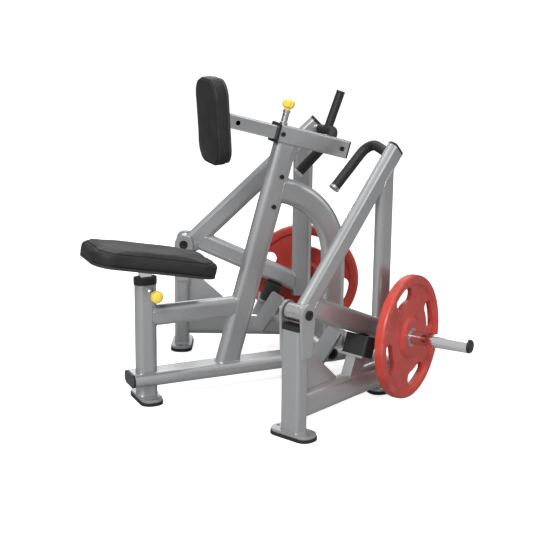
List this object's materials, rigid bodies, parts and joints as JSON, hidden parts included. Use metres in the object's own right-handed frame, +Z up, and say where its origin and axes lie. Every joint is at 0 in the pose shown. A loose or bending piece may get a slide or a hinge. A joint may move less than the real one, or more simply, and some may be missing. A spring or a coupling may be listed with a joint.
{
  "type": "seated row machine",
  "caption": "Plate-loaded seated row machine with a tilted seat, a sliding chest pad, two converging pivoted levers with bent handles, weight horns and red weight plates.",
  "frame": {"origin": "on the floor, at the centre of the overall box", "axes": "+X from the seat end to the rear, +Y to the seated user's left, +Z up"},
  "size_m": [1.2606, 1.3076, 1.1717],
  "materials": {
    "frame_paint": "satin metallic silver-grey powder coat",
    "black_rubber": "matte",
    "black_plastic": "satin",
    "chrome": "polished",
    "zinc_steel": "zinc plated",
    "black_steel": "black oxide, satin",
    "black_vinyl": "charcoal vinyl, fine grain",
    "board": "black painted plywood",
    "yellow_knob": "gloss",
    "grip_rubber": "knurled matte",
    "red_plate": "red rubber coat, satin"
  },
  "bodies": {
    "frame": {"arc_tube": "frame_paint", "base_tube": "frame_paint", "bumper_brackets": "frame_paint", "bumpers": "black_rubber", "clevis_plates": "frame_paint", "foot_pads": "black_rubber", "foot_plates": "frame_paint", "foot_rest_bar": "frame_paint", "foot_rests": "frame_paint", "frame_bolts": "black_steel", "front_post": "frame_paint", "gussets": "frame_paint", "main_upright": "frame_paint", "pin_barrels": "zinc_steel", "pivot_bolts": "black_steel", "rail_housing": "frame_paint", "rail_sleeve": "black_plastic", "rear_cross_beam": "frame_paint", "rear_legs": "frame_paint", "seat_collar": "black_plastic", "side_beam_left": "frame_paint", "side_beam_right": "frame_paint", "side_upright_left": "frame_paint", "side_upright_right": "frame_paint", "strut": "frame_paint", "tube_end_caps": "black_plastic"},
    "seat": {"seat_stem": "chrome", "seat_board": "board", "seat_pad": "black_vinyl"},
    "chest_rest": {"slide_tube": "chrome", "chest_bracket": "black_plastic", "chest_board": "board", "chest_pad": "black_vinyl"},
    "seat_pin": {"seat_pin_rod": "zinc_steel", "seat_pin_knob": "yellow_knob"},
    "rail_pin": {"rail_pin_rod": "zinc_steel", "rail_pin_knob": "yellow_knob"},
    "weight_left": {"plate_left": "red_plate"},
    "weight_right": {"plate_right": "red_plate"},
    "lever_left": {"lever_left_arm": "frame_paint", "lever_left_boss": "zinc_steel", "lever_left_bushes": "black_plastic", "lever_left_caps": "black_plastic", "lever_left_grip": "grip_rubber", "lever_left_handle": "zinc_steel", "lever_left_horn": "chrome", "lever_left_lower": "frame_paint", "lever_left_spacer": "black_rubber", "lever_left_tail": "frame_paint", "lever_left_upright_grip": "grip_rubber"},
    "lever_right": {"lever_right_arm": "frame_paint", "lever_right_boss": "zinc_steel", "lever_right_bushes": "black_plastic", "lever_right_caps": "black_plastic", "lever_right_grip": "grip_rubber", "lever_right_handle": "zinc_steel", "lever_right_horn": "chrome", "lever_right_lower": "frame_paint", "lever_right_spacer": "black_rubber", "lever_right_tail": "frame_paint"}
  },
  "joints": [
    {"name": "seat_height", "type": "slide", "parent": "frame", "child": "seat", "axis": [0, 0, 1], "range_m": [0, 0.12]},
    {"name": "chest_reach", "type": "slide", "parent": "frame", "child": "chest_rest", "axis": [0.9622, 0, -0.2723], "range_m": [-0.08, 0.08]},
    {"name": "seat_pin_pull", "type": "slide", "parent": "frame", "child": "seat_pin", "axis": [0, -1, 0], "range_m": [0, 0.012], "stiffness_N_per_m": 600, "springref_m": -0.004},
    {"name": "rail_pin_pull", "type": "slide", "parent": "frame", "child": "rail_pin", "axis": [0.2723, 0, 0.9622], "range_m": [0, 0.012], "stiffness_N_per_m": 600, "springref_m": -0.004},
    {"name": "lever_left_swing", "type": "hinge", "parent": "frame", "child": "lever_left", "pos_m": [-0.05425, 0.535, 0.44], "axis": [-0.4226, -0.9063, 0], "range_deg": [0, 45]},
    {"name": "weight_left_slide", "type": "slide", "parent": "lever_left", "child": "weight_left", "axis": [0.5517, 0.8336, 0.0262], "range_m": [0, 0.28]},
    {"name": "lever_right_swing", "type": "hinge", "parent": "frame", "child": "lever_right", "pos_m": [-0.05425, -0.535, 0.44], "axis": [0.4226, -0.9063, 0], "range_deg": [0, 45]},
    {"name": "weight_right_slide", "type": "slide", "parent": "lever_right", "child": "weight_right", "axis": [0.5517, -0.8336, 0.0262], "range_m": [0, 0.28]}
  ]
}
